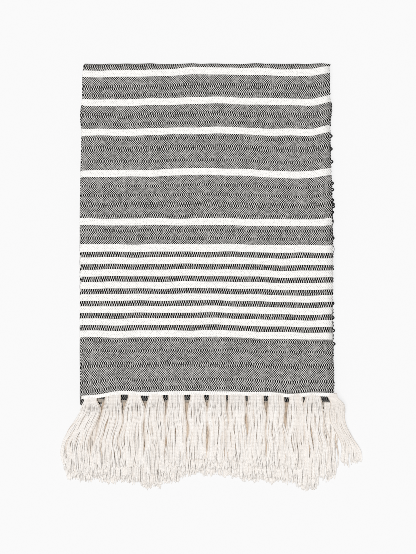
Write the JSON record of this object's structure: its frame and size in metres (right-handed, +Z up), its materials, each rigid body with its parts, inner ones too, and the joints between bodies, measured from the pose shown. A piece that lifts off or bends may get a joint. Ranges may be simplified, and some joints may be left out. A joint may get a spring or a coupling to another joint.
{
  "type": "runner rug",
  "caption": "Flat-woven cotton runner rug in black and off-white stripes with knotted yarn tassels at both ends, folded flat into a compact rectangular stack for storage or display",
  "frame": {"origin": "centre of the underside of the whole part's bounding box, on the surface it lies on", "axes": "+Z up out of the folded stack; +Y from the tassels towards the back creases; +X from the long fold towards the selvedges"},
  "size_m": [0.3628, 0.5242, 0.0167],
  "materials": {
    "woven_stripe": "matte black and off-white cotton bird's-eye twill with white stripes across it",
    "heading_cord": "matte twined off-white cotton cord",
    "tassel_yarn": "matte loose off-white cotton yarn"
  },
  "bodies": {
    "root": {"woven_cloth": "woven_stripe", "heading_cord_end_a": "heading_cord", "heading_cord_end_b": "heading_cord", "tassel_end_a_lower_01": "tassel_yarn", "tassel_end_a_lower_02": "tassel_yarn", "tassel_end_a_lower_03": "tassel_yarn", "tassel_end_a_lower_04": "tassel_yarn", "tassel_end_a_lower_05": "tassel_yarn", "tassel_end_a_lower_06": "tassel_yarn", "tassel_end_a_lower_07": "tassel_yarn", "tassel_end_a_lower_08": "tassel_yarn", "tassel_end_a_lower_09": "tassel_yarn", "tassel_end_a_lower_10": "tassel_yarn", "tassel_end_a_lower_11": "tassel_yarn", "tassel_end_a_lower_12": "tassel_yarn", "tassel_end_a_lower_13": "tassel_yarn", "tassel_end_a_upper_01": "tassel_yarn", "tassel_end_a_upper_02": "tassel_yarn", "tassel_end_a_upper_03": "tassel_yarn", "tassel_end_a_upper_04": "tassel_yarn", "tassel_end_a_upper_05": "tassel_yarn", "tassel_end_a_upper_06": "tassel_yarn", "tassel_end_a_upper_07": "tassel_yarn", "tassel_end_a_upper_08": "tassel_yarn", "tassel_end_a_upper_09": "tassel_yarn", "tassel_end_a_upper_10": "tassel_yarn", "tassel_end_a_upper_11": "tassel_yarn", "tassel_end_a_upper_12": "tassel_yarn", "tassel_end_a_upper_13": "tassel_yarn", "tassel_end_b_lower_01": "tassel_yarn", "tassel_end_b_lower_02": "tassel_yarn", "tassel_end_b_lower_03": "tassel_yarn", "tassel_end_b_lower_04": "tassel_yarn", "tassel_end_b_lower_05": "tassel_yarn", "tassel_end_b_lower_06": "tassel_yarn", "tassel_end_b_lower_07": "tassel_yarn", "tassel_end_b_lower_08": "tassel_yarn", "tassel_end_b_lower_09": "tassel_yarn", "tassel_end_b_lower_10": "tassel_yarn", "tassel_end_b_lower_11": "tassel_yarn", "tassel_end_b_lower_12": "tassel_yarn", "tassel_end_b_lower_13": "tassel_yarn", "tassel_end_b_upper_01": "tassel_yarn", "tassel_end_b_upper_02": "tassel_yarn", "tassel_end_b_upper_03": "tassel_yarn", "tassel_end_b_upper_04": "tassel_yarn", "tassel_end_b_upper_05": "tassel_yarn", "tassel_end_b_upper_06": "tassel_yarn", "tassel_end_b_upper_07": "tassel_yarn", "tassel_end_b_upper_08": "tassel_yarn", "tassel_end_b_upper_09": "tassel_yarn", "tassel_end_b_upper_10": "tassel_yarn", "tassel_end_b_upper_11": "tassel_yarn", "tassel_end_b_upper_12": "tassel_yarn", "tassel_end_b_upper_13": "tassel_yarn"}
  },
  "joints": []
}
